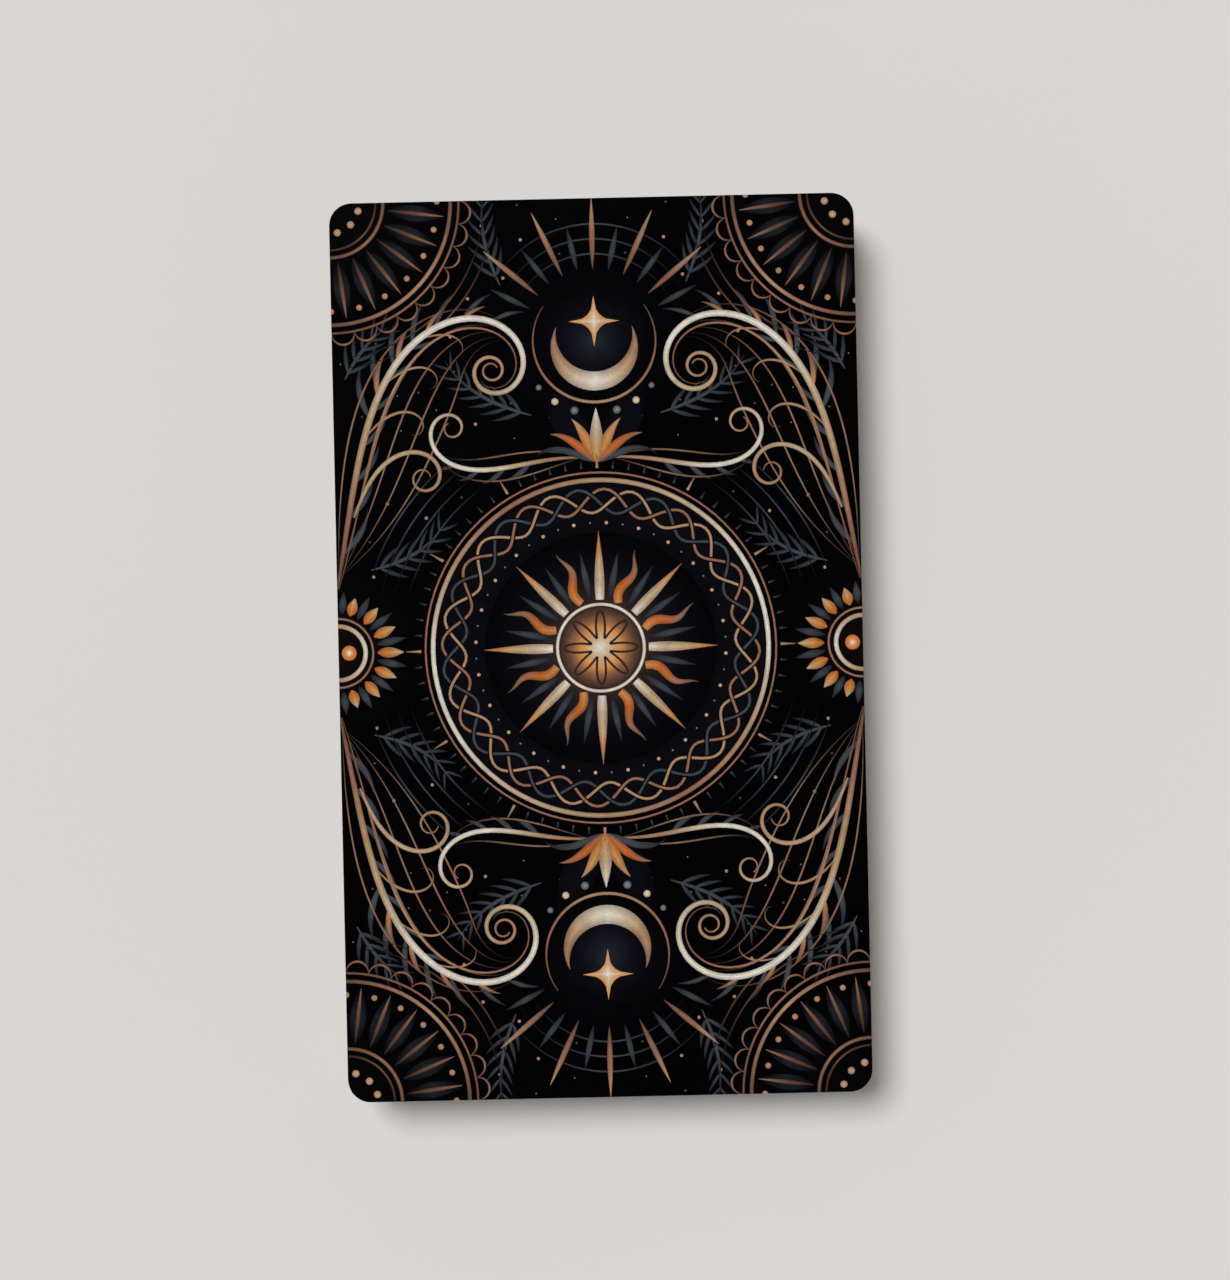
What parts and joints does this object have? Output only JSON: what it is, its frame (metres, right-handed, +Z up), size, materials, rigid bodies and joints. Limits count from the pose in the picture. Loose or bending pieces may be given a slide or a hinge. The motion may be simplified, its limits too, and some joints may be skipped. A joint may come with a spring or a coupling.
{
  "type": "oracle card deck",
  "caption": "Flat squared-up deck of loose oracle cards with rounded corners and a black, gold and copper patterned back; each card slides out sideways to be drawn.",
  "frame": {"origin": "centre of the squared-up deck's underside, on the table", "axes": "+X across the cards' short side, the way a card is drawn; +Y along their long side; +Z up"},
  "size_m": [0.0702, 0.1202, 0.0105],
  "materials": {
    "laminated_card": "matte"
  },
  "bodies": {
    "card_01": {"card_01": "laminated_card"},
    "card_02": {"card_02": "laminated_card"},
    "card_03": {"card_03": "laminated_card"},
    "card_04": {"card_04": "laminated_card"},
    "card_05": {"card_05": "laminated_card"},
    "card_06": {"card_06": "laminated_card"},
    "card_07": {"card_07": "laminated_card"},
    "card_08": {"card_08": "laminated_card"},
    "card_09": {"card_09": "laminated_card"},
    "card_10": {"card_10": "laminated_card"},
    "card_11": {"card_11": "laminated_card"},
    "card_12": {"card_12": "laminated_card"},
    "card_13": {"card_13": "laminated_card"},
    "card_14": {"card_14": "laminated_card"},
    "card_15": {"card_15": "laminated_card"},
    "card_16": {"card_16": "laminated_card"},
    "card_17": {"card_17": "laminated_card"},
    "card_18": {"card_18": "laminated_card"},
    "card_19": {"card_19": "laminated_card"},
    "card_20": {"card_20": "laminated_card"},
    "card_21": {"card_21": "laminated_card"},
    "card_22": {"card_22": "laminated_card"},
    "card_23": {"card_23": "laminated_card"},
    "card_24": {"card_24": "laminated_card"},
    "card_25": {"card_25": "laminated_card"},
    "card_26": {"card_26": "laminated_card"},
    "card_27": {"card_27": "laminated_card"},
    "card_28": {"card_28": "laminated_card"},
    "card_29": {"card_29": "laminated_card"},
    "card_30": {"card_30": "laminated_card"}
  },
  "joints": [
    {"name": "card_01_draw", "type": "slide", "parent": "card_30", "child": "card_01", "axis": [1, 0, 0], "range_m": [-0.075, 0.075]},
    {"name": "card_02_draw", "type": "slide", "parent": "card_30", "child": "card_02", "axis": [1, 0, 0], "range_m": [-0.075, 0.075]},
    {"name": "card_03_draw", "type": "slide", "parent": "card_30", "child": "card_03", "axis": [1, 0, 0], "range_m": [-0.075, 0.075]},
    {"name": "card_04_draw", "type": "slide", "parent": "card_30", "child": "card_04", "axis": [1, 0, 0], "range_m": [-0.075, 0.075]},
    {"name": "card_05_draw", "type": "slide", "parent": "card_30", "child": "card_05", "axis": [1, 0, 0], "range_m": [-0.075, 0.075]},
    {"name": "card_06_draw", "type": "slide", "parent": "card_30", "child": "card_06", "axis": [1, 0, 0], "range_m": [-0.075, 0.075]},
    {"name": "card_07_draw", "type": "slide", "parent": "card_30", "child": "card_07", "axis": [1, 0, 0], "range_m": [-0.075, 0.075]},
    {"name": "card_08_draw", "type": "slide", "parent": "card_30", "child": "card_08", "axis": [1, 0, 0], "range_m": [-0.075, 0.075]},
    {"name": "card_09_draw", "type": "slide", "parent": "card_30", "child": "card_09", "axis": [1, 0, 0], "range_m": [-0.075, 0.075]},
    {"name": "card_10_draw", "type": "slide", "parent": "card_30", "child": "card_10", "axis": [1, 0, 0], "range_m": [-0.075, 0.075]},
    {"name": "card_11_draw", "type": "slide", "parent": "card_30", "child": "card_11", "axis": [1, 0, 0], "range_m": [-0.075, 0.075]},
    {"name": "card_12_draw", "type": "slide", "parent": "card_30", "child": "card_12", "axis": [1, 0, 0], "range_m": [-0.075, 0.075]},
    {"name": "card_13_draw", "type": "slide", "parent": "card_30", "child": "card_13", "axis": [1, 0, 0], "range_m": [-0.075, 0.075]},
    {"name": "card_14_draw", "type": "slide", "parent": "card_30", "child": "card_14", "axis": [1, 0, 0], "range_m": [-0.075, 0.075]},
    {"name": "card_15_draw", "type": "slide", "parent": "card_30", "child": "card_15", "axis": [1, 0, 0], "range_m": [-0.075, 0.075]},
    {"name": "card_16_draw", "type": "slide", "parent": "card_30", "child": "card_16", "axis": [1, 0, 0], "range_m": [-0.075, 0.075]},
    {"name": "card_17_draw", "type": "slide", "parent": "card_30", "child": "card_17", "axis": [1, 0, 0], "range_m": [-0.075, 0.075]},
    {"name": "card_18_draw", "type": "slide", "parent": "card_30", "child": "card_18", "axis": [1, 0, 0], "range_m": [-0.075, 0.075]},
    {"name": "card_19_draw", "type": "slide", "parent": "card_30", "child": "card_19", "axis": [1, 0, 0], "range_m": [-0.075, 0.075]},
    {"name": "card_20_draw", "type": "slide", "parent": "card_30", "child": "card_20", "axis": [1, 0, 0], "range_m": [-0.075, 0.075]},
    {"name": "card_21_draw", "type": "slide", "parent": "card_30", "child": "card_21", "axis": [1, 0, 0], "range_m": [-0.075, 0.075]},
    {"name": "card_22_draw", "type": "slide", "parent": "card_30", "child": "card_22", "axis": [1, 0, 0], "range_m": [-0.075, 0.075]},
    {"name": "card_23_draw", "type": "slide", "parent": "card_30", "child": "card_23", "axis": [1, 0, 0], "range_m": [-0.075, 0.075]},
    {"name": "card_24_draw", "type": "slide", "parent": "card_30", "child": "card_24", "axis": [1, 0, 0], "range_m": [-0.075, 0.075]},
    {"name": "card_25_draw", "type": "slide", "parent": "card_30", "child": "card_25", "axis": [1, 0, 0], "range_m": [-0.075, 0.075]},
    {"name": "card_26_draw", "type": "slide", "parent": "card_30", "child": "card_26", "axis": [1, 0, 0], "range_m": [-0.075, 0.075]},
    {"name": "card_27_draw", "type": "slide", "parent": "card_30", "child": "card_27", "axis": [1, 0, 0], "range_m": [-0.075, 0.075]},
    {"name": "card_28_draw", "type": "slide", "parent": "card_30", "child": "card_28", "axis": [1, 0, 0], "range_m": [-0.075, 0.075]},
    {"name": "card_29_draw", "type": "slide", "parent": "card_30", "child": "card_29", "axis": [1, 0, 0], "range_m": [-0.075, 0.075]}
  ]
}
